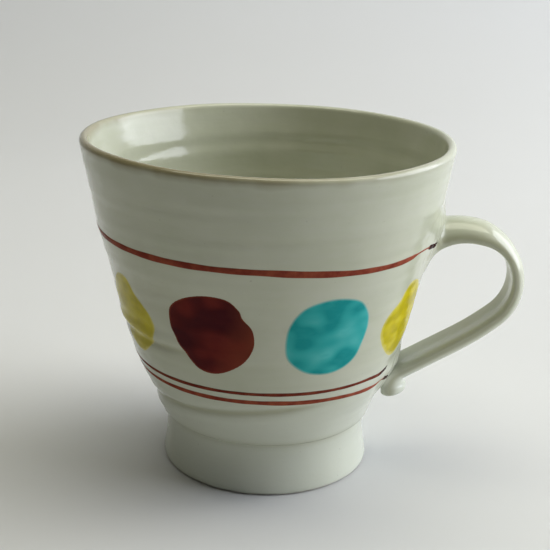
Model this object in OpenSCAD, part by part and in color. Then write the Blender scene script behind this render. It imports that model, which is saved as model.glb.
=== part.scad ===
// Hand-thrown mug with a turned foot, a pulled strap handle and overglaze enamel decoration.
// Millimetres. The origin is the centre of the foot's standing ring and +Z is up. The handle points along +X.

/* [Body] */
// Outside radius of the rim
rim_r = 45; // [43:0.5:48]
// Height of the rim above the table
rim_h = 83.2; // [81:0.2:86]
// Thickness of the rounded lip
lip_t = 2.2; // [1.8:0.1:2.8]
// Wall thickness halfway up
wall_t = 3.2; // [2.6:0.1:4]
// Height of the cup's floor inside
floor_h = 13.2; // [12.4:0.1:14.5]
// Radius of the standing edge of the foot
foot_r = 26.4; // [25.8:0.1:27.2]
// Height of the foot, up to the step under the belly
foot_h = 13.6; // [13:0.1:14.2]
// Width of the standing ring
ring_w = 4.2; // [3.4:0.1:5]
// Depth of the hollow turned out of the foot
hollow_d = 7.2; // [5:0.1:8]

/* [Handle] */
// Width of the strap where it is thinnest
strap_w = 10.4; // [9:0.1:12]
// Thickness of the strap on its outer bend
strap_t = 3.6; // [3:0.1:4.4]
// Extra height of the flared upper root, each way
root_flare = 2.4; // [1:0.1:3]
// Extra width of the flared upper root, each way
root_spread = 2.2; // [1:0.1:3]
// Thickness of the slip that joins the strap to the wall
slip_t = 0.4; // [0.3:0.05:0.6]

/* [Decoration] */
// Height of the upper painted line
upper_line_h = 61.4; // [60:0.1:62.5]
// Width of the upper painted line
upper_line_w = 1.6; // [1:0.1:2]
// Height of the upper of the two low lines
low_line_1_h = 29.9; // [29.4:0.1:30.6]
// Width of the upper of the two low lines
low_line_1_w = 1; // [0.7:0.1:1.3]
// Height of the lower of the two low lines
low_line_2_h = 27.1; // [26.4:0.1:27.6]
// Width of the lower of the two low lines
low_line_2_w = 1.3; // [0.8:0.1:1.6]
// Height of the middle of the enamel spots
spot_h = 44.8; // [44:0.1:46]
// Diameter of a spot
spot_d = 20.4; // [17:0.1:22]
// Thickness of the fired enamel
enamel_t = 0.16; // [0.1:0.01:0.25]

/* [Part shown] */
// Name of one part, or all

/* [Hidden] */
$fn = 96;
lip_r = lip_t / 2;
function on_arc(c, r, a) = [c[0] + r * cos(a), c[1] + r * sin(a)];
function swapped(p) = [p[1], p[0]];
lip_c = [rim_r - lip_r, rim_h - lip_r];
clay = "#dfe0d2";
iron_red = "#8c2f24";
yellow = "#b3a312";
turquoise = "#2f8f8a";

// The outside of the wall from the foot's step to the lip: [height, radius]
wall_knots = [[foot_h, foot_r + 0.2], [19, 28.6], [26, 31.7], [34, 34.6], [43, 36.9], [52, 38.9], [62, 41.4],
  [72, 43.2], swapped(on_arc(lip_c, lip_r, -13))];
// The inside of the cup from its floor to the lip
inside_knots = [[floor_h + 1.6, 17.5], [18.6, 22.6], [26, 31.7 - wall_t - 1], [34, 34.6 - wall_t - 0.5],
  [43, 36.9 - wall_t - 0.2], [52, 38.9 - wall_t], [62, 41.4 - wall_t], [72, 43.2 - wall_t + 0.2],
  swapped(on_arc(lip_c, lip_r, 170))];

// A smooth line through a list of knots, a given number of steps from one knot to the next
function knot(k, i) = k[max(0, min(len(k) - 1, i))];
function between(a, b, c, d, t) =
  0.5 * (2 * b + (c - a) * t + (2 * a - 5 * b + 4 * c - d) * t * t + (3 * b - a - 3 * c + d) * t * t * t);
function smooth(k, steps) = concat(
  [for (i = [0:len(k) - 2]) for (s = [0:steps - 1])
    between(knot(k, i - 1), k[i], k[i + 1], knot(k, i + 2), s / steps)], [k[len(k) - 1]]);
function swap(points) = [for (p = points) swapped(p)];
function reversed(list) = [for (i = [len(list) - 1:-1:0]) list[i]];

wall_outside = swap(smooth(wall_knots, 3));
cup_inside = swap(smooth(inside_knots, 3));
foot_outside = [[foot_r - 0.6, 0], [foot_r, 0.6], [foot_r - 0.7, 5], [foot_r - 1, 9],
  [foot_r - 0.5, foot_h - 0.8]];

// Radius of the outside wall at a height, and the filled outside shape grown by a small amount
function wall_radius(z) = lookup(z, concat([[0, foot_r]], swap(wall_outside)));
module filled_outside(grow = 0) {
  rotate_extrude() polygon(concat([[0, -grow]],
    [for (p = concat(foot_outside, wall_outside)) [p[0] + grow, p[1]]], [[0, rim_h - lip_r]]));
}

// Thrown and turned clay: wall, floor and foot are one piece
module body() color(clay) {
  rotate_extrude() union() {
    polygon(concat(foot_outside, wall_outside, reversed(cup_inside),
      [[12, floor_h + 0.2], [0, floor_h], [0, hollow_d], [15, hollow_d - 0.4],
       [foot_r - ring_w - 1.6, hollow_d - 1.4], [foot_r - ring_w, 1.4], [foot_r - ring_w + 0.8, 0]]));
    translate(lip_c) circle(lip_r, $fn = 48);
  }
}

// The strap's path in its plane: [x, z, direction of its outer face, half thickness, half width]
bend_c = [48.8, 48.6];
bend_r = 12.3;
top_r = 17;
run_r = 70;
run_l = 15.6;
curl_r = 4.6;
half_t = strap_t / 2;
half_w = strap_w / 2;
top_c = on_arc(bend_c, bend_r - top_r, 74);
run_c = on_arc(bend_c, bend_r - run_r, -49);
run_end = on_arc(run_c, run_r, -59);
curl_c = on_arc(run_end, run_l, -149) + curl_r * [cos(-59), sin(-59)];
function ease(t) = pow(max(0, min(1, t)), 2);
function thick(a) = half_t + lookup(a,
  [[-59, 0.3], [-49, 0.2], [-20, 0], [10, -0.2], [35, -0.25], [55, 0.05], [74, 0.45], [90, 0.6]]);
path = concat(
  [for (a = [136:-5:76]) let (f = ease((a - 84) / 42)) concat(on_arc(top_c, top_r, a),
    [a, thick(a) + root_flare * f, half_w + 0.8 + root_spread * f])],
  [for (a = [71:-8:-49]) concat(on_arc(bend_c, bend_r, a),
    [a, thick(a), half_w + 0.8 * ease((a + 20) / 100)])],
  [for (a = [-51.5:-2.5:-59]) concat(on_arc(run_c, run_r, a), [a, thick(a), half_w])],
  [for (s = [0.2:0.2:0.8]) concat(on_arc(run_end, run_l * s, -149), [-59, thick(-59), half_w + 0.3 * s])],
  [for (a = [121:9.25:176.5]) let (f = (a - 121) / 55.5) concat(on_arc(curl_c, curl_r, a),
    [a - 180, half_t + 0.3 + 0.95 * f, half_w + 0.3 + 0.7 * f])],
  [for (s = [[1.2, 1], [2, 0.9], [2.5, 0.7], [2.7, 0.4]]) let (p = on_arc(curl_c, curl_r, 178))
    [p[0] + 0.2, p[1] - s[0], -2, (half_t + 1.25) * s[1], (half_w + 1) * (0.3 + 0.7 * s[1])]]);

// The strap's section, [half widths to the side, half thicknesses outward]: domed outside, slightly hollow inside
half_section = [[0, 1.42], [-0.4, 1.26], [-0.7, 0.88], [-0.9, 0.42], [-0.99, -0.05], [-1, -0.45], [-0.88, -0.76],
  [-0.6, -0.77], [0, -0.66]];
half_line = smooth(half_section, 2);
half_count = len(half_line);
section_line = concat(half_line, [for (i = [half_count - 2:-1:1]) [-half_line[i][0], half_line[i][1]]]);
around = len(section_line);
function section(s) = [for (p = section_line) let (out = s[3] * p[1])
  [s[0] + out * cos(s[2]), s[4] * p[0], s[1] + out * sin(s[2])]];

module strap() {
  n = len(path);
  polyhedron(
    points = [for (s = path) each section(s)],
    faces = concat([[for (i = [0:around - 1]) i]], [[for (i = [around - 1:-1:0]) (n - 1) * around + i]],
      [for (j = [0:n - 2]) for (i = [0:around - 1]) let (k = (i + 1) % around, a = j * around, b = a + around)
        each [[a + i, b + i, b + k], [a + i, b + k, a + k]]]), convexity = 6);
}

// Pulled strap handle, cut to the curve of the wall where it is luted on
module handle() color(clay) difference() {
  strap();
  filled_outside(slip_t);
}

// Slip layers in which the two ends of the strap are set
module slip_layer(z, reach_y, reach_z, r) color(clay) intersection() {
  difference() {
    filled_outside(slip_t);
    filled_outside(0);
  }
  translate([20, 0, z]) rotate([0, 90, 0]) linear_extrude(40) {
    for (y = [-reach_y, reach_y], h = [-reach_z, reach_z]) translate([h, y]) circle(r);
    square([2 * (reach_z + r), 2 * reach_y], center = true);
    square([2 * reach_z, 2 * (reach_y + r)], center = true);
  }
}
module upper_slip_seam() slip_layer(60, 4.6, 1.2, 3.8);
module lower_slip_seam() slip_layer(22.6, 2, 1.6, 4);

// A painted band round the wall that stops on each side of the handle
module band(h, w, gap_y) color(iron_red) difference() {
  rotate_extrude() polygon([for (p = [[0, -1], [enamel_t, -1], [enamel_t, 1], [0, 1]])
    let (z = h + p[1] * w / 2) [wall_radius(z) + p[0], z]]);
  translate([0, -gap_y, h - w]) cube([60, 2 * gap_y, 2 * w]);
}
module upper_line() band(upper_line_h, upper_line_w, 8.8);
module low_line_1() band(low_line_1_h, low_line_1_w, 6.4);
module low_line_2() band(low_line_2_h, low_line_2_w, 6.4);

// A brushed spot: a soft uneven outline laid on the wall, pointing outward along its own direction
function blob(a, lobes) = spot_d / 2 * (1 + 0.018 * cos(lobes * a + 40) + 0.015 * sin((lobes + 1) * a));
module spot(turn, lobes, tint) color(tint) intersection() {
  difference() {
    filled_outside(enamel_t);
    filled_outside(0);
  }
  rotate(turn) translate([30, 0, spot_h]) rotate([90, 0, 90]) linear_extrude(20)
    polygon([for (a = [0:15:345]) [blob(a, lobes) * cos(a), blob(a, lobes) * sin(a)]]);
}
spot_turn = [-147, -108, -66, -27, 27, 64, 101, 139, 176];
module spot_yellow_1() spot(spot_turn[0], 2, yellow);
module spot_red_1() spot(spot_turn[1], 3, iron_red);
module spot_turquoise_1() spot(spot_turn[2], 3, turquoise);
module spot_yellow_2() spot(spot_turn[3], 3, yellow);
module spot_red_2() spot(spot_turn[4], 2, iron_red);
module spot_turquoise_2() spot(spot_turn[5], 2, turquoise);
module spot_yellow_3() spot(spot_turn[6], 2, yellow);
module spot_red_3() spot(spot_turn[7], 3, iron_red);
module spot_turquoise_3() spot(spot_turn[8], 2, turquoise);

body();
handle();
upper_slip_seam();
lower_slip_seam();
upper_line();
low_line_1();
low_line_2();
spot_yellow_1();
spot_yellow_2();
spot_yellow_3();
spot_red_1();
spot_red_2();
spot_red_3();
spot_turquoise_1();
spot_turquoise_2();
spot_turquoise_3();
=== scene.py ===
"""A hand-thrown porcelain mug with a pulled strap handle and brushed enamel, built round its CAD part.

Lengths are millimetres until a mesh is made.
Angles round the mug are degrees from the handle, which is along +X.
"""

import math

import bpy
import numpy as np
from mathutils import Matrix, Vector
from mathutils.bvhtree import BVHTree


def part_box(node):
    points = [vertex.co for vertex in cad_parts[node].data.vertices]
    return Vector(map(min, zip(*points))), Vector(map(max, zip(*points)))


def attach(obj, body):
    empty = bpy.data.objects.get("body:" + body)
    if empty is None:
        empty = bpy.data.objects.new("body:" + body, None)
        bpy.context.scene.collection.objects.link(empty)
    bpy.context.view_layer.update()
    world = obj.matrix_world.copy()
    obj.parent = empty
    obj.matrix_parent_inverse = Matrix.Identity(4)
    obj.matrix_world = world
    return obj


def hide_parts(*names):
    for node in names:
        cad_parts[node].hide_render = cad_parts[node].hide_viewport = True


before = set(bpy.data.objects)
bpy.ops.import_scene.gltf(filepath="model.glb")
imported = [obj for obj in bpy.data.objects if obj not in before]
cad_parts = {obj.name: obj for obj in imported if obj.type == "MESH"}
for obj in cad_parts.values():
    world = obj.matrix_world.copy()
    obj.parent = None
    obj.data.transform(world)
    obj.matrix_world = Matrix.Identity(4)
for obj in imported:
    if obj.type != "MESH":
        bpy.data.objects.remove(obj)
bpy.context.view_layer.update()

MM = 0.001
BODY_LOW, BODY_HIGH = (np.array(corner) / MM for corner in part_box("body"))
RIM_R = -BODY_LOW[0]
RIM_H = BODY_HIGH[2]

# The wheel left the cup leaning a little away from the handle.
LEAN = -1.2
# The foot, the floor inside, the hollow under the foot and its standing ring, and the rounded lip.
FOOT_R = 26.4
FOOT_H = 13.6
FLOOR_H = 13.2
HOLLOW_D = 7.2
RING_W = 4.2
LIP_T = 2.2
LIP_R = LIP_T / 2

# [height, radius] of the outside above the foot's step, and of the inside above the floor.
WALL = [
    (FOOT_H, 26.6), (19, 28.6), (26, 31.7), (34, 34.6),
    (43, 36.9), (52, 38.9), (62, 41.4), (72, 43.2)]
INSIDE = [
    (FLOOR_H + 1.6, 17.5), (18.6, 22.6), (26, 27.5), (34, 30.9),
    (43, 33.5), (52, 35.7), (62, 38.2), (72, 40.2)]


# ----------------------------------------------------------------------------------------------------
# Shapes


def on_arc(centre, radius, angle):
    """The point at an angle in degrees on an arc in a plane."""
    a = math.radians(angle)
    return np.array([centre[0] + radius * math.cos(a), centre[1] + radius * math.sin(a)])


def smooth(knots, steps, closed=False):
    """A smooth line through the knots, a number of steps from each to the next."""
    k = np.array(knots, float)
    n = len(k)
    line = []
    for i in range(n if closed else n - 1):
        picked = [(i + j) % n if closed else min(max(i + j, 0), n - 1) for j in (-1, 0, 1, 2)]
        a, b, c, d = k[picked]
        for t in np.arange(steps) / steps:
            line.append(0.5 * (2 * b + (c - a) * t + (2 * a - 5 * b + 4 * c - d) * t**2
                               + (3 * b - a - 3 * c + d) * t**3))
    if not closed:
        line.append(k[-1])
    return np.array(line)


def bump(x, centre, width):
    """A bell, 1 at the centre."""
    return np.exp(-(((x - centre) / width) ** 2))


def ease(x, low, high):
    """0 below low, 1 above high and smooth between."""
    t = np.clip((x - low) / (high - low), 0, 1)
    return t * t * (3 - 2 * t)


LIP = (RIM_R - LIP_R, RIM_H - LIP_R)
outer_line = smooth([*WALL, on_arc(LIP, LIP_R, -13)[::-1]], 12)
inner_line = smooth([*INSIDE, on_arc(LIP, LIP_R, 170)[::-1]], 12)
foot_line = smooth([(0.6, FOOT_R), (5, 25.7), (9, 25.35), (FOOT_H - 0.9, 25.6)], 12)


def plain_radius(z):
    """Radius of the outside before the throwing marks."""
    z = np.asarray(z, float)
    foot = np.interp(z, foot_line[:, 0], foot_line[:, 1])
    wall = np.interp(z, outer_line[:, 0], outer_line[:, 1])
    step = ease(z, FOOT_H - 0.7, FOOT_H + 0.3)
    return foot + (wall - foot) * step


def groove_height(theta):
    """Height of the finger groove that climbs the belly from the foot's step to the low lines."""
    return 20.4 + 0.064 * (theta + 145)


def wrap(theta, centre=-110):
    """The same direction, within half a turn of the centre."""
    return (np.asarray(theta, float) - centre + 180) % 360 - 180 + centre


def relief(theta, z):
    """How far the throwing marks stand out of the plain outside."""
    turn = np.radians(theta)
    rings = 0.03 * np.sin(2 * np.pi * z / 5.3 + turn) + 0.02 * np.sin(2 * np.pi * z / 3.1 - 2 * turn + 1)
    rings = rings + 0.05 * np.sin(2 * np.pi * z / 17 + turn + 0.6) + 0.04 * np.sin(3 * turn + z / 9)
    rings = rings * ease(z, 15, 24) * (1 - ease(z, RIM_H - 6, RIM_H - 2))
    t = wrap(theta)
    low = ease(t, -235, -200) * (1 - ease(t, -85, -55))
    here = groove_height(t)
    low = low * (-0.6 * bump(z, here, 1.1) + 0.3 * bump(z, here - 2.8, 1.8))
    u = wrap(theta, -170)
    side = ease(u, -245, -215) * (1 - ease(u, -134, -108))
    there = 38.2 + 0.04 * (u + 137) * (u > -137)
    side = side * (-0.6 * bump(z, there, 1.0) + 0.28 * bump(z, there + 2.3, 1.6))
    return rings + low + side


def inner_relief(theta, z):
    """The throwing rings inside."""
    turn = np.radians(theta)
    rings = 0.1 * np.sin(2 * np.pi * z / 6.1 + turn) + 0.05 * np.sin(2 * np.pi * z / 3.7 + 2 * turn)
    return rings * ease(z, 15, 22) * (1 - ease(z, RIM_H - 8, RIM_H - 2))


def set_in_place(radius, theta, z):
    """Points of the cup from its round coordinates, with the lean and the uneven rim."""
    turn = np.radians(theta)
    up = z / RIM_H
    rim = 0.22 * np.sin(2 * turn + 0.5) + 0.1 * np.sin(3 * turn + 2) + 0.05 * np.sin(7 * turn)
    x = radius * np.cos(turn) + LEAN * up
    return np.stack([x, radius * np.sin(turn), z + rim * up**8], -1)


def outside(theta, z, lift=0.0):
    """A point on the outside of the cup, lifted off it by a small amount."""
    theta, z = np.broadcast_arrays(np.asarray(theta, float), np.asarray(z, float))
    return set_in_place(plain_radius(z) + relief(theta, z) + lift, theta, z)


def grid_faces(rows, columns, closed=False, start=0, flip=False):
    """The quads of a grid of points; closed joins the last column to the first."""
    i, j = np.meshgrid(np.arange(rows - 1), np.arange(columns if closed else columns - 1), indexing="ij")
    k = (j + 1) % columns
    quads = np.stack([i * columns + j, i * columns + k, (i + 1) * columns + k, (i + 1) * columns + j], -1)
    quads = quads.reshape(-1, 4) + start
    return (quads[:, ::-1] if flip else quads).tolist()


def make(name, points, faces, material, slot, node, **numbers):
    """A smooth mesh piece that rides on the part and stands for one CAD node, with numbers at its points."""
    mesh = bpy.data.meshes.new(name)
    mesh.from_pydata((np.asarray(points).reshape(-1, 3) * MM).tolist(), [], faces)
    for title, values in numbers.items():
        data = mesh.attributes.new(title, "FLOAT", "POINT").data
        data.foreach_set("value", np.ravel(values).astype(float))
    mesh.materials.append(material)
    mesh.shade_smooth()
    mesh.validate()
    piece = bpy.data.objects.new(name, mesh)
    bpy.context.scene.collection.objects.link(piece)
    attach(piece, "root")
    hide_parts(node)
    return piece


# ----------------------------------------------------------------------------------------------------
# Materials


class Surface:
    """A material made of nodes, read in the part's own coordinates in metres."""

    def __init__(self, name):
        self.material = bpy.data.materials.new(name)
        self.material.use_nodes = True
        self.tree = self.material.node_tree
        self.shader = self.tree.nodes["Principled BSDF"]
        self.place = self.tree.nodes.new("ShaderNodeTexCoord").outputs["Object"]

    def add(self, kind, settings=None, **inputs):
        """A new node; an input is named, or numbered as i0, i1 and so on."""
        node = self.tree.nodes.new("ShaderNode" + kind)
        for key, value in (settings or {}).items():
            setattr(node, key, value)
        for key, value in inputs.items():
            self.feed(node.inputs[int(key[1:]) if key[0] == "i" and key[1:].isdigit() else key], value)
        return node

    def feed(self, socket, value):
        """A link from another node's output, or else a constant."""
        if isinstance(value, bpy.types.NodeSocket):
            self.tree.links.new(value, socket)
        else:
            socket.default_value = value

    def math(self, operation, a, b=0.0, clamp=False):
        """One sum on two numbers, kept from 0 to 1 if clamp is set."""
        return self.add("Math", {"operation": operation, "use_clamp": clamp}, i0=a, i1=b).outputs[0]

    def noise(self, size_mm, detail=3.0, stretch=(1, 1, 1), offset=0.0):
        """Noise from 0 to 1 whose lumps are about this size."""
        moved = (offset, offset * 0.7, -offset)
        placed = self.add("Mapping", None, Vector=self.place, Location=moved, Scale=stretch).outputs[0]
        noise = self.add("TexNoise", None, Vector=placed, Scale=1 / (size_mm * MM), Detail=detail)
        return noise.outputs["Fac"]

    def ramp(self, value, *stops):
        """A colour, or a grey, from a value: stops are (place, colour)."""
        node = self.add("ValToRGB", None, Fac=value)
        spots = node.color_ramp.elements
        for i, (place, colour) in enumerate(stops):
            spot = spots[i] if i < 2 else spots.new(place)
            spot.position = place
            spot.color = (*colour, 1) if isinstance(colour, tuple) else (colour,) * 3 + (1,)
        return node.outputs[0]

    def blend(self, amount, a, b, kind="MIX"):
        """Colour a where amount is 0 and b where it is 1."""
        node = self.add("Mix", {"data_type": "RGBA", "blend_type": kind})
        self.feed(node.inputs["Factor"], amount)
        for socket, value in ((node.inputs[6], a), (node.inputs[7], b)):
            self.feed(socket, (*value, 1) if isinstance(value, tuple) else value)
        return node.outputs[2]

    def number(self, name):
        """One of the numbers that make() stored at the piece's points."""
        return self.add("Attribute", {"attribute_name": name}).outputs["Fac"]

    def height(self):
        """Height above the table in millimetres."""
        z = self.add("SeparateXYZ", None, Vector=self.place).outputs["Z"]
        return self.math("DIVIDE", z, MM)

    def finish(self, colour, roughness, relief_height=None, relief_mm=0.02, **constants):
        """The material, with its colour, roughness, fine relief and the shader's constants set."""
        self.feed(self.shader.inputs["Base Color"], colour)
        self.feed(self.shader.inputs["Roughness"], roughness)
        if relief_height is not None:
            made = self.add("Bump", None, Height=relief_height, Distance=relief_mm * MM, Strength=1.0)
            self.feed(self.shader.inputs["Normal"], made.outputs[0])
        for key, value in constants.items():
            self.shader.inputs[key.replace("_", " ")].default_value = value
        return self.material


# The glaze's own tone, which shows through the enamel's thin edges.
GLAZE = (0.53, 0.545, 0.43)
# Painted bounce light from the floor makes the glaze paler below one height and palest below the other.
PAINTED_BOUNCE_BELOW = 36
PAINTED_BOUNCE_FULL_BELOW = 20
# Highest place of the bare clay on the foot's standing edge.
BARE_BELOW = 0.75


def glaze():
    """Thin grey-green glaze: browner on the lip, with painted shade making it darkest on the front-left;
    greener and darker in the grooves and at the foot's step, partly pooled glaze and partly painted shade,
    and on the strap's sides as painted shade; paler low down as painted bounce light from the floor; darker
    inside as painted shade.
    """
    s = Surface("glaze")
    cloud = s.ramp(s.noise(14, 2), (0.3, (0.50, 0.52, 0.395)), (0.7, (0.555, 0.57, 0.45)))
    streak = s.ramp(s.noise(5, 3, (1, 1, 4), 0.3), (0.4, 0.0), (0.75, 0.35))
    colour = s.blend(streak, cloud, (0.55, 0.555, 0.47))
    # Painted shade: the inside is darkened a little.
    colour = s.blend(s.number("inside"), colour, (0.91, 0.91, 0.90), "MULTIPLY")
    z = s.height()
    # Painted bounce light from the floor: the glaze is paler low down.
    low = s.math("DIVIDE", s.math("SUBTRACT", PAINTED_BOUNCE_BELOW, z), PAINTED_BOUNCE_BELOW - PAINTED_BOUNCE_FULL_BELOW, True)
    colour = s.blend(s.math("MULTIPLY", low, 0.6), colour, (0.66, 0.69, 0.60))
    # Darker and greener in the grooves and at the foot's step, from pooled glaze deepened as painted shade,
    # and on the strap's side faces as painted shade.
    colour = s.blend(s.math("MULTIPLY", s.number("pool"), 0.7, True), colour, (0.37, 0.37, 0.24))
    # Browner lip where the glaze runs thin, made strongest on the front-left as painted shade.
    wander = s.math("MULTIPLY", s.noise(9, 2, offset=0.1), 3.0)
    lip = s.math("MULTIPLY", s.math("SUBTRACT", s.math("ADD", z, wander), RIM_H - 0.9), 0.5, True)
    colour = s.blend(s.math("MULTIPLY", lip, s.number("thin")), colour, (0.26, 0.225, 0.12))
    speck = s.ramp(s.noise(0.9, 2, offset=0.5), (0.74, 0.0), (0.78, 0.5))
    colour = s.blend(speck, colour, (0.35, 0.33, 0.26))
    bare = s.math("LESS_THAN", s.math("ADD", z, s.math("MULTIPLY", s.noise(3), 0.5)), BARE_BELOW)
    clay = s.ramp(s.noise(1.2, 5), (0.35, (0.42, 0.39, 0.33)), (0.7, (0.55, 0.52, 0.46)))
    colour = s.blend(bare, colour, clay)
    rough = s.ramp(s.noise(7, 3, offset=0.8), (0.3, 0.10), (0.75, 0.17))
    rough = s.blend(bare, rough, (0.75, 0.75, 0.75))
    peel = s.math("ADD", s.noise(6, 2), s.math("MULTIPLY", s.noise(1.6, 2), 0.22))
    turning = s.math("MULTIPLY", s.noise(1.3, 2, (0.1, 0.1, 1), 0.2), 0.3)
    return s.finish(colour, rough, s.math("ADD", peel, turning), 0.09, IOR=1.5)


# Deep, middle and thin tone of each enamel.
RED_TONES = ((0.062, 0.006, 0.009), (0.09, 0.009, 0.009), (0.14, 0.016, 0.012))
TURQUOISE_TONES = ((0.012, 0.29, 0.29), (0.035, 0.39, 0.38), (0.09, 0.49, 0.47))
YELLOW_TONES = ((0.44, 0.37, 0.004), (0.53, 0.44, 0.006), (0.58, 0.50, 0.02))


def enamel(name, tones, lump_mm, edge_tone, margin_mm, soft_mm, seed):
    """Brushed overglaze enamel: patches of tone, a thinner tone at the edge and where the brush ran dry."""
    s = Surface(name)
    deep, middle, thin = tones
    wash = s.noise(lump_mm, 1, (1, 1, 1.5), seed)
    colour = s.ramp(wash, (0.40, deep), (0.62, thin), (0.5, middle))
    strokes = s.ramp(s.noise(lump_mm * 0.4, 2, (1, 1, 2.4), seed + 0.2), (0.45, 0.0), (0.7, 0.3))
    colour = s.blend(strokes, colour, middle)
    edge = s.number("edge")
    uneven = s.math("MULTIPLY", s.math("SUBTRACT", s.noise(2.2, 3), 0.5), margin_mm * 1.4)
    ragged = s.math("ADD", edge, uneven)
    rim = s.math("SUBTRACT", 1.0, s.math("DIVIDE", ragged, margin_mm), True)
    full = s.math("ADD", s.number("load"), s.math("MULTIPLY", s.noise(4, 3), 0.3))
    dry = s.math("SUBTRACT", 1.0, full, True)
    colour = s.blend(s.math("MAXIMUM", s.math("MULTIPLY", rim, 0.85), dry), colour, edge_tone)
    out = s.math("SUBTRACT", 1.0, s.math("DIVIDE", edge, soft_mm), True)
    colour = s.blend(s.math("MULTIPLY", out, 0.9), colour, GLAZE)
    rough = s.ramp(s.noise(3, 3), (0.3, 0.12), (0.75, 0.24))
    peel = s.math("ADD", wash, s.math("MULTIPLY", s.noise(1.4, 2), 0.3))
    return s.finish(colour, rough, peel, 0.05, IOR=1.2, Specular_IOR_Level=0.25)


def brushed_line():
    """Iron red from a loaded brush: darker where it pools at the ends, thin and warm where it runs dry."""
    s = Surface("iron_red_line")
    wash = s.noise(2.6, 3)
    colour = s.ramp(wash, (0.35, (0.20, 0.038, 0.024)), (0.68, (0.31, 0.078, 0.042)))
    load = s.number("load")
    colour = s.blend(s.math("SUBTRACT", 1.0, load, True), colour, (0.42, 0.12, 0.07))
    colour = s.blend(s.math("SUBTRACT", load, 1.0, True), colour, (0.028, 0.006, 0.006))
    out = s.math("SUBTRACT", 1.0, s.math("DIVIDE", s.number("edge"), 0.16), True)
    wet = s.math("SUBTRACT", 2.0, load, True)
    colour = s.blend(s.math("MULTIPLY", s.math("MULTIPLY", out, wet), 0.6), colour, GLAZE)
    rough = s.ramp(s.noise(2), (0.3, 0.1), (0.7, 0.2))
    return s.finish(colour, rough, s.noise(1.1, 2), 0.03, IOR=1.1, Specular_IOR_Level=0.15)


# Where the stage's floor bends up behind the mug, and the place and length over which it greys in front.
BEND_Y = 360
PAPER_BEND_R = 260
GREY_FROM_Y = -170
GREY_OVER = 300


def matt_paper():
    """The stage's matt paper: faintly mottled, bluer where it stands up as painted cool window light, and
    greyer toward the front as painted shade of the dim room before the mug.
    """
    s = Surface("paper")
    floor = s.ramp(s.noise(120, 2), (0.3, (0.65, 0.655, 0.65)), (0.7, (0.66, 0.665, 0.66)))
    y = s.add("SeparateXYZ", None, Vector=s.place).outputs["Y"]
    # Painted shade: the floor greys toward the front, standing in for the dim room before the mug.
    front = s.math("DIVIDE", s.math("SUBTRACT", GREY_FROM_Y * MM, y), GREY_OVER * MM, True)
    floor = s.blend(front, floor, (0.32, 0.32, 0.31))
    # Painted cool light from the window: the paper turns bluer as it stands up.
    up = s.math("DIVIDE", s.height(), PAPER_BEND_R, True)
    return s.finish(s.blend(up, floor, (0.64, 0.66, 0.715)), 0.9)


def grey_paper():
    """The duller paper that closes the room in front."""
    s = Surface("grey_paper")
    return s.finish(s.ramp(s.noise(300, 2), (0.3, (0.29, 0.285, 0.25)), (0.7, (0.31, 0.305, 0.27))), 0.9)


# ----------------------------------------------------------------------------------------------------
# The cup


def cup(material):
    """Body: the outside from the foot up, over the lip, down the inside, and the hollow under the foot."""
    lip = np.array([on_arc(LIP, LIP_R, a) for a in np.linspace(-13, 170, 17)[1:-1]])
    up = np.concatenate([np.arange(0.9, FOOT_H - 1, 0.8), np.linspace(FOOT_H - 1, FOOT_H + 0.6, 9),
                         np.arange(FOOT_H + 1.1, outer_line[-1, 0], 0.55)])
    down = np.arange(inner_line[-1, 0] - 0.3, INSIDE[0][0], -1.0)
    floor = smooth([INSIDE[0][::-1], (14.5, 13.5), (8, FLOOR_H + 0.1), (0.02, FLOOR_H)], 7)
    ring_in = FOOT_R - RING_W
    under = smooth([(0.02, HOLLOW_D), (10, HOLLOW_D), (ring_in - 4, HOLLOW_D - 0.6), (ring_in - 1.2, 5),
                    (ring_in, 1.4), (ring_in + 0.5, 0.3), (ring_in + 1.3, 0)], 6)
    edge = smooth([(FOOT_R - 1.6, 0), (FOOT_R - 0.7, 0.04), (FOOT_R - 0.15, 0.35)], 4)
    inner_r = np.interp(down, inner_line[:, 0], inner_line[:, 1])
    radius = np.concatenate([under[:, 0], edge[:, 0], plain_radius(up), lip[:, 0], inner_r, floor[:, 0]])
    z = np.concatenate([under[:, 1], edge[:, 1], up, lip[:, 1], down, floor[:, 1]])
    first_out = len(under) + len(edge)
    first_in = first_out + len(up) + len(lip)
    row = np.arange(len(z))[:, None]
    is_out = (row >= first_out) & (row < first_out + len(up))
    is_wall_in = (row >= first_in) & (row < first_in + len(down))
    theta = np.arange(0, 360, 1.5)
    zz, tt = np.meshgrid(z, theta, indexing="ij")
    marks = is_out * relief(tt, zz)
    points = set_in_place(radius[:, None] + marks + is_wall_in * inner_relief(tt, zz), tt, zz)
    rows, columns = zz.shape
    # Pooled glaze in the grooves and at the foot's step, made stronger as painted shade.
    pool = np.clip(-marks * 2.2, 0, 1) + bump(zz, FOOT_H - 0.2, 1.1) * is_out * 0.6
    faces = grid_faces(rows, columns, closed=True)
    faces.append(list(range(columns))[::-1])
    faces.append([(rows - 1) * columns + j for j in range(columns)])
    # Lip colour strongest at the front-left and gone at the back right: partly thin glaze, partly painted
    # shade.
    thin = np.clip(0.35 + 0.6 * np.cos(np.radians(tt + 135)), 0, 1)
    # Marks the inside, where the glaze is darkened as painted shade.
    inside = (row >= first_in) + 0 * tt
    return make("cup_body", points, faces, material, "glazed_clay", "body",
                pool=pool, thin=thin, inside=inside)


# ----------------------------------------------------------------------------------------------------
# The handle

# The strap's middle line, in the upright plane through the handle: an arc over the top, the bend, a slight
# curve and a straight run in to the wall, and the curl of the tail. Each joins the next without a corner.
BEND_C = (48.8, 48.6)
BEND_R = 12.3
TOP_R = 17.0
RUN_R = 70.0
RUN_L = 15.6
CURL_R = 4.6
HALF_T = 1.8
HALF_W = 5.2
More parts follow.
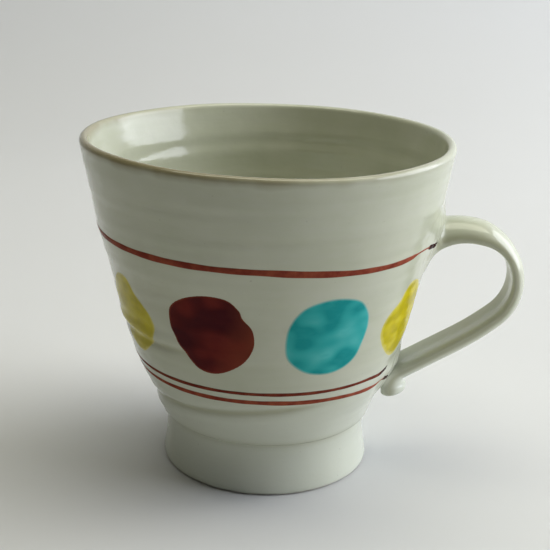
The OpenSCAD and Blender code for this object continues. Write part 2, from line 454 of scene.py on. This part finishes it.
# Radii of the fillets where the strap meets the wall.
TOP_ROOT = 2.8
LOW_ROOT = 2.6
TOP_C = on_arc(BEND_C, BEND_R - TOP_R, 74)
RUN_C = on_arc(BEND_C, BEND_R - RUN_R, -49)
RUN_END = on_arc(RUN_C, RUN_R, -59)
CURL_C = on_arc(on_arc(RUN_END, RUN_L, -149), CURL_R, -59)
# How far the wall leans out for each millimetre up, where the handle stands on it.
WALL_SLOPE = 0.22
# Half thickness of the strap against the direction its outer face looks in.
THICKNESS = [(-59, 2.1), (-49, 2.0), (-20, 1.8), (10, 1.6), (35, 1.55), (55, 1.85), (74, 2.25), (90, 2.4)]

# Edge of the strap's section, domed outside and hollow inside: half widths aside, half thicknesses outward.
RIGHT_HALF = [
    (0.6, -0.77), (0.88, -0.76), (1.0, -0.45), (0.99, -0.05),
    (0.90, 0.42), (0.7, 0.88), (0.4, 1.26)]
SECTION = [*RIGHT_HALF[2:], (0, 1.42), *[(-x, y) for x, y in RIGHT_HALF[::-1]], (0, -0.66), *RIGHT_HALF[:2]]


def half_thickness(angle):
    """Half the strap's thickness where its outer face looks in this direction."""
    return np.interp(angle, *np.array(THICKNESS).T)


def strap_path():
    """Stations along the strap: x, z, outer face's direction, half thickness, half width, root radius."""
    rows = []
    for a in np.concatenate([np.arange(140, 112, -0.75), np.arange(112, 75, -2.0)]):
        f = np.clip((a - 84) / 42, 0, 1) ** 2
        half_t, half_w = half_thickness(a) + 1.2 * f, HALF_W + 0.8 + 1.2 * f
        rows.append([*on_arc(TOP_C, TOP_R, a), a, half_t, half_w, TOP_ROOT])
    for a in np.arange(73, -49, -3.0):
        half_w = HALF_W + 0.8 * max(0, (a + 20) / 100) ** 2
        rows.append([*on_arc(BEND_C, BEND_R, a), a, half_thickness(a), half_w, 0])
    for a in np.arange(-50, -59, -1.0):
        rows.append([*on_arc(RUN_C, RUN_R, a), a, half_thickness(a), HALF_W, 0])
    for s in np.arange(0.04, 1, 0.04):
        place = on_arc(RUN_END, RUN_L * s, -149)
        rows.append([*place, -59, half_thickness(-59), HALF_W + 0.3 * s, LOW_ROOT * min(1, 3 * s)])
    for a in np.arange(121, 177, 3.5):
        f = (a - 121) / 55.5
        half_t, half_w = HALF_T + 0.3 + 0.95 * f, HALF_W + 0.3 + f
        rows.append([*on_arc(CURL_C, CURL_R, a), a - 180, half_t, half_w, LOW_ROOT - f])
    last = on_arc(CURL_C, CURL_R, 178)
    for drop in np.linspace(0.1, 1, 9):
        full = math.sqrt(max(0.0, 1 - max(0.0, (drop - 0.35) / 0.65) ** 2.2))
        rows.append([last[0] + 0.2, last[1] - 2.8 * drop, -2, (HALF_T + 1.25) * max(full, 0.12),
                     (HALF_W + 1.3) * (0.35 + 0.65 * full), LOW_ROOT - 1])
    return np.array(rows)


def wall_gap(p):
    """How far points stand outside the cup's wall, and their direction round it."""
    x = p[..., 0] - LEAN * p[..., 2] / RIM_H
    theta = np.degrees(np.arctan2(p[..., 1], x))
    return np.hypot(x, p[..., 1]) - plain_radius(p[..., 2]) - relief(theta, p[..., 2]), theta


def handle(material):
    """The pulled strap, with its roots swept out on to the wall and its tail pressed down and curled."""
    path = strap_path()
    u, v = smooth(SECTION, 5, closed=True).T
    x, z, a, ht, hw, root = path.T[:, :, None]
    a = np.radians(a)
    out, side = ht * v, hw * u
    points = np.stack([x + out * np.cos(a), side + 0 * x, z + out * np.sin(a)], -1)
    # Near the wall each point moves outward along it, as on a fillet.
    # A point inside the wall is laid just under its face.
    n_side = np.roll(out, -1, 1) - np.roll(out, 1, 1)
    n_out = np.roll(side, 1, 1) - np.roll(side, -1, 1)
    size = np.hypot(n_side, n_out)
    n_side, n_out = n_side / size, n_out / size
    push = np.stack([n_out * np.cos(a), n_side, n_out * np.sin(a)], -1)
    gap, theta = wall_gap(points)
    turn = np.radians(theta)
    from_wall = np.stack([np.cos(turn), np.sin(turn), -WALL_SLOPE + 0 * turn], -1)
    from_wall = from_wall / math.hypot(1, WALL_SLOPE)
    push = push - (push * from_wall).sum(-1, keepdims=True) * from_wall
    near = np.clip(1 - np.clip(gap, 0, None) / (root + 1e-6), 0, 1)
    swell = root * (1 + 1.5 * n_side**2) * (1 - np.sqrt(1 - near**2))
    points = points + push * swell[..., None]
    _, theta = wall_gap(points)
    buried = gap < 0.02
    held = outside(theta, points[..., 2], -0.05)
    points = np.where(buried[..., None], held, points)
    keep = slice(max(0, int(np.argmax(~buried.all(axis=1))) - 2), None)
    points = points[keep]
    rows, columns = points.shape[:2]
    faces = grid_faces(rows, columns, closed=True, flip=True)
    faces.append(list(range(columns)))
    faces.append([(rows - 1) * columns + j for j in range(columns)][::-1])
    # Painted shade: a darker olive band along the middle of both side faces of the strap.
    pool = (np.abs(u) > 0.8) * bump(v, -0.05, 0.4) + np.zeros((rows, 1))
    return make("handle_strap", points, faces, material, "glazed_clay", "handle", pool=pool)


def slip_smear(name, node, z, reach_side, reach_up, thick, material):
    """Slip wiped round a root of the handle, thinning to nothing on the wall."""
    rings, columns = 20, 72
    directions = np.radians(np.arange(columns) * 360 / columns)
    rho, phi = np.meshgrid(np.linspace(0, 1, rings), directions, indexing="ij")
    wobble = 1 + 0.06 * np.sin(3 * phi + 1) + 0.05 * np.sin(5 * phi)
    side, up = rho * reach_side * np.cos(phi) * wobble, rho * reach_up * np.sin(phi) * wobble
    height = z + up
    theta = np.degrees(side / plain_radius(height))
    wiped = 1 + 0.15 * np.sin(side * 2.3 + 1)
    top = outside(theta, height, thick * wiped * (1 - rho**2) ** 2 - 0.02)
    faces = grid_faces(rings, columns, closed=True, flip=True)
    return make(name, top, faces, material, "glazed_clay", node, pool=0 * rho)


# ----------------------------------------------------------------------------------------------------
# Enamel


# Thickness of the enamel, and how deep its underside is set below the glaze.
SPOT_THICK = 0.1
LINE_THICK = 0.09
BEDDED = 0.06


def gather(*pieces):
    """A search tree over pieces of clay added to the wall."""
    points, faces = [], []
    for piece in pieces:
        start = len(points)
        points += [vertex.co.copy() for vertex in piece.data.vertices]
        faces += [[start + i for i in face.vertices] for face in piece.data.polygons]
    return BVHTree.FromPolygons(points, faces)


def on_clay(added, theta, z, lift):
    """Points on the wall, or on top of the handle's roots and their slip where those cover it."""
    theta, z, lift = np.broadcast_arrays(theta, z, lift)
    points = outside(theta, z, lift)
    starts = outside(theta, z, 12)
    for place in np.ndindex(theta.shape):
        if abs(wrap(theta[place], 0)) < 45:
            start = Vector(starts[place] * MM)
            inward = Vector(points[place] * MM) - start
            hit, normal, _, _ = added.ray_cast(start, inward.normalized(), inward.length)
            if hit is not None:
                points[place] = np.array(hit + normal * float(lift[place]) * MM) / MM
    return points


def spot(name, added, theta, z, outline, load, material, slot):
    """A brushed spot: outline is its edge in millimetres, seen from outside, laid on the wall.

    load is how full the brush was: in the middle, and how it changes over 10 mm to the right and upward.
    """
    edge_line = smooth(outline, 8, closed=True)
    rings = 12
    rho = np.concatenate([np.linspace(0, 0.9, rings), [0.95, 0.98, 1.0]])[:, None]
    side, up = rho * edge_line[None, :, 0], rho * edge_line[None, :, 1]
    height = z + up
    turn = theta + np.degrees(side / plain_radius(height))
    reach = np.hypot(edge_line[:, 0], edge_line[:, 1])[None, :]
    top = on_clay(added, turn, height, SPOT_THICK * (1 - rho**10) - 0.015)
    under = on_clay(added, turn, height, -BEDDED)
    rows, columns = side.shape
    faces = grid_faces(rows, columns, closed=True)
    faces += grid_faces(rows, columns, closed=True, start=rows * columns, flip=True)
    last = (rows - 1) * columns
    shift = rows * columns
    for j in range(columns):
        k = (j + 1) % columns
        faces.append([last + j, last + k, last + k + shift, last + j + shift][::-1])
    edge = (1 - rho) * reach
    full = load[0] + (load[1] * side + load[2] * up) / 10
    points = np.concatenate([top.reshape(-1, 3), under.reshape(-1, 3)])
    return make(name, points, faces, material, slot, name, edge=np.concatenate([edge, edge]),
                load=np.concatenate([full, full]))


def line(name, added, theta, z, width, load, material):
    """A painted line on the wall: load is 1 for a full brush, over 1 where it pools, under 1 where dry."""
    across = np.array([-1, -0.8, -0.4, 0, 0.4, 0.8, 1.0])
    lift = LINE_THICK * (1 - across**6) - 0.012
    theta, z, width, load = (np.asarray(n, float)[:, None] for n in (theta, z, width, load))
    height = z + across * width / 2
    ends = np.minimum(1, np.minimum(np.arange(len(z)), np.arange(len(z))[::-1]) / 3.0)[:, None]
    top = on_clay(added, theta, height, lift * ends - 0.02 * (1 - ends))
    under = on_clay(added, theta, height, -BEDDED)
    rows, columns = height.shape
    faces = grid_faces(rows, columns) + grid_faces(rows, columns, start=rows * columns, flip=True)
    edge = (1 - np.abs(across)) * width / 2
    loads = load + 0 * height
    points = np.concatenate([top.reshape(-1, 3), under.reshape(-1, 3)])
    return make(name, points, faces, material, "iron_red_enamel", name, edge=np.concatenate([edge, edge]),
                load=np.concatenate([loads, loads]))


# The lines' courses from one side of the handle round to the other: (direction, height, width, load).
# A dark dash of pooled enamel ends each, and the upper and lowest lines grow thin just before it.
UPPER_LINE = [
    (-348, 60.0, 0.9, 2), (-340, 60.8, 1.0, 2), (-339, 60.9, 0.5, 1), (-330, 61.3, 0.5, 0.9),
    (-326, 61.3, 1.3, 1), (-300, 61.9, 1.6, 1), (-240, 62.1, 1.7, 1), (-190, 61.8, 1.6, 1),
    (-150, 61.9, 1.7, 1), (-120, 61.9, 1.6, 1), (-88, 61.9, 1.65, 1), (-75, 61.4, 1.7, 1),
    (-59, 60.8, 1.6, 1), (-44, 60.6, 1.45, 1), (-34, 60.9, 1.2, 0.9), (-31, 61.2, 0.55, 0.8),
    (-26, 61.2, 0.5, 0.9), (-22, 60.9, 0.55, 1.2), (-20.5, 60.7, 1.4, 2), (-12, 59.8, 1.3, 2)]
LOW_LINE_1 = [
    (-334, 30, 1.3, 2), (-329, 29.5, 1.3, 1.9), (-320, 29.8, 1, 1.35), (-240, 30, 1.1, 1.35),
    (-150, 29.9, 1, 1.35), (-90, 29.9, 1, 1.3), (-40, 29.7, 1, 1.35), (-33, 29.3, 1.2, 1.5),
    (-30, 29.4, 1.4, 2), (-25.5, 30.1, 1.3, 2)]
LOW_LINE_2 = [
    (-344, 25, 0.9, 2), (-337, 25.8, 1.0, 1.9), (-336, 26.1, 0.6, 1), (-330, 26.3, 1.1, 0.8),
    (-300, 27.2, 1.3, 1), (-240, 27.5, 1.3, 1), (-150, 27.4, 1.2, 1), (-116, 27.4, 1.3, 1),
    (-88, 27.4, 1.35, 1), (-69, 27.1, 1.35, 1), (-55, 26.9, 1.3, 1), (-37, 26.1, 1.3, 0.75),
    (-31, 25.9, 1.0, 0.7), (-27, 26.1, 0.5, 0.9), (-23.5, 26.2, 0.5, 1.1), (-22, 25.9, 1.2, 2),
    (-15, 24.8, 1.2, 2)]


def painted_lines(added, material):
    """The three lines, with finer steps in front of the handle and behind it, where they narrow."""
    for name, knots in (("upper_line", UPPER_LINE), ("low_line_1", LOW_LINE_1), ("low_line_2", LOW_LINE_2)):
        knots = np.array(knots)
        theta = np.concatenate([np.arange(knots[0, 0], -320, 0.4), np.arange(-320, -40, 1.0),
                                np.arange(-40, knots[-1, 0] + 0.1, 0.4)])
        z, width, load = (np.interp(theta, knots[:, 0], column) for column in knots.T[1:])
        calm = np.convolve(np.pad(z, 4, mode="edge"), np.ones(9) / 9, mode="valid")
        width = width * (1 + 0.06 * np.sin(theta / 7) + 0.04 * np.sin(theta / 2.3))
        line(name, added, theta, calm, width, load, material)


# Edges of the brushed spots in millimetres, seen from outside.
RED_EDGE = [
    (-10.2, 1.2), (-9.8, 5.2), (-6.2, 8.3), (-0.5, 10.1), (4.8, 9.8), (7.5, 7.4), (8.3, 5.2),
    (10.3, 2.2), (10.1, -2.4), (7, -7), (1.3, -10.2), (-3.4, -9.8), (-7, -6), (-9.2, -2)]
TURQUOISE_EDGE = [
    (-10.3, -1.3), (-9.8, 3.8), (-7, 8), (-2, 10), (3.2, 9.9), (7.8, 8.1), (10.4, 3.5),
    (9.8, -1.8), (7.3, -7.4), (2, -10), (-4.3, -9.3), (-9, -5.7)]
YELLOW_EDGE = [
    (-10.2, 0.5), (-8.6, 5), (-3.5, 9.2), (1.7, 9.8), (5, 6), (9.2, 2.3), (9.9, -1.5),
    (7, -6), (1.5, -9.8), (-4, -8.4), (-8.8, -4.6)]


def turned(edge, angle, flip=1):
    """The same edge turned and perhaps mirrored, so that no two spots are alike."""
    a = math.radians(angle)
    c, d = math.cos(a), math.sin(a)
    return [(flip * x * c - y * d, flip * x * d + y * c) for x, y in edge]


def spots(added):
    """Nine spots round the mug, yellow, maroon and turquoise in turn, with a wider gap at the handle."""
    red, teal, yellow = "maroon_enamel", "turquoise_enamel", "yellow_enamel"
    paints = {
        red: enamel(red, RED_TONES, 10, (0.25, 0.06, 0.025), 0.7, 0.22, 0.0),
        teal: enamel(teal, TURQUOISE_TONES, 9, (0.08, 0.47, 0.46), 1.0, 0.7, 0.4),
        yellow: enamel(yellow, YELLOW_TONES, 5, (0.66, 0.60, 0.22), 1.2, 0.4, 0.9)}
    # name, direction, height, edge, load, slot
    placed = [
        ("spot_yellow_1", -147, 43.9, YELLOW_EDGE, (0.55, 0.2, 0.0), yellow),
        ("spot_red_1", -107.8, 44.9, RED_EDGE, (1.0, -0.6, 0.2), red),
        ("spot_turquoise_1", -65.8, 44.8, TURQUOISE_EDGE, (1.1, 0.1, 0.1), teal),
        ("spot_yellow_2", -27, 43.8, turned(YELLOW_EDGE, 0, -1), (1.25, -0.4, 0.0), yellow),
        ("spot_red_2", 27, 44.6, turned(RED_EDGE, 150), (1.1, 0.3, 0.1), red),
        ("spot_turquoise_2", 64, 45.0, turned(TURQUOISE_EDGE, 200, -1), (1.1, 0.1, 0.2), teal),
        ("spot_yellow_3", 101, 44.5, turned(YELLOW_EDGE, 70), (1.0, 0.3, 0.4), yellow),
        ("spot_red_3", 139, 44.8, turned(RED_EDGE, 60, -1), (1.1, 0.2, -0.3), red),
        ("spot_turquoise_3", 176, 44.9, turned(TURQUOISE_EDGE, 100), (1.1, -0.2, 0.1), teal)]
    for name, theta, z, edge, load, slot in placed:
        spot(name, added, theta, z, edge, load, paints[slot], slot)


# ----------------------------------------------------------------------------------------------------
# Stage


def stage_sheet(name, points, rows, columns, material):
    """A sheet of the stage's paper from a grid of points."""
    mesh = bpy.data.meshes.new(name)
    mesh.from_pydata((np.array(points) * MM).tolist(), [], grid_faces(rows, columns, flip=True))
    mesh.materials.append(material)
    mesh.shade_smooth()
    sheet = bpy.data.objects.new(name, mesh)
    bpy.context.scene.collection.objects.link(sheet)


def sweep_paper(material, dull):
    """Pale paper: a floor that curves up behind the mug, and a dull half-round wall all round the front."""
    wide, high = 2500, 2200
    curve = [on_arc((BEND_Y, PAPER_BEND_R), PAPER_BEND_R, a - 90) for a in np.arange(6, 91, 6)]
    back_y = BEND_Y + PAPER_BEND_R
    profile = [(back_y - wide, 0), (BEND_Y, 0), *curve, (back_y, high)]
    sweep = [(x, y, z) for y, z in profile for x in (-wide, wide)]
    stage_sheet("paper", sweep, len(profile), 2, material)
    ring = [on_arc((0, back_y), wide, a) for a in np.arange(180, 361, 6)]
    stage_sheet("surround", [(x, y, z) for z in (0, high) for x, y in ring], 2, len(ring), dull)


def area_light(name, place, target, size, watts, colour):
    """A soft oval light at a place, turned to a target."""
    lamp = bpy.data.lights.new(name, "AREA")
    lamp.shape = "ELLIPSE"
    lamp.size, lamp.size_y = size[0] * MM, size[1] * MM
    lamp.energy = watts
    lamp.color = colour
    holder = bpy.data.objects.new(name, lamp)
    holder.location = Vector(place) * MM
    holder.rotation_euler = (Vector(target) - Vector(place)).to_track_quat("-Z", "Y").to_euler()
    bpy.context.scene.collection.objects.link(holder)


def light_the_scene():
    """A broad cool window on the right, a weaker warm ceiling over the mug, and a little light all round."""
    area_light("window", (1010, 210, 430), (0, 0, 40), (1450, 1000), 18.2, (0.95, 0.985, 1.07))
    area_light("ceiling", (80, 60, 850), (80, 60, 0), (1200, 480), 5.15, (1.0, 0.975, 0.83))
    world = bpy.data.worlds.new("room")
    world.use_nodes = True
    world.node_tree.nodes["Background"].inputs["Color"].default_value = (1.0, 0.95, 0.55, 1)
    world.node_tree.nodes["Background"].inputs["Strength"].default_value = 0.02
    bpy.context.scene.world = world
    bpy.context.scene.view_settings.view_transform = "Standard"


def aim_camera():
    """A 72 mm lens about 290 mm away, looking 18.6 degrees down and tipped 1.7 degrees to one side."""
    place = Vector((7.35, -261.44, 135.81))
    lens = bpy.data.cameras.new("camera")
    lens.sensor_width, lens.lens = 36, 72
    lens.clip_start = 0.01
    yaw, pitch, roll = math.radians(-1.31), math.radians(18.64), math.radians(1.71)
    ahead = Vector((math.sin(yaw) * math.cos(pitch), math.cos(yaw) * math.cos(pitch), -math.sin(pitch)))
    right = Vector((math.cos(yaw), -math.sin(yaw), 0))
    above = right.cross(ahead)
    tipped_right = math.cos(roll) * right + math.sin(roll) * above
    tipped_up = math.cos(roll) * above - math.sin(roll) * right
    camera = bpy.data.objects.new("camera", lens)
    turned_so = Matrix((tipped_right, tipped_up, -ahead)).transposed().to_4x4()
    camera.matrix_world = Matrix.Translation(place * MM) @ turned_so
    bpy.context.scene.collection.objects.link(camera)
    bpy.context.scene.camera = camera


clay = glaze()
cup(clay)
strap = handle(clay)
upper_slip = slip_smear("upper_slip", "upper_slip_seam", 61, 19, 11, 1.8, clay)
lower_slip = slip_smear("lower_slip", "lower_slip_seam", 26.5, 17, 8.5, 1.5, clay)
added_clay = gather(strap, upper_slip, lower_slip)
painted_lines(added_clay, brushed_line())
spots(added_clay)
sweep_paper(matt_paper(), grey_paper())
light_the_scene()
aim_camera()
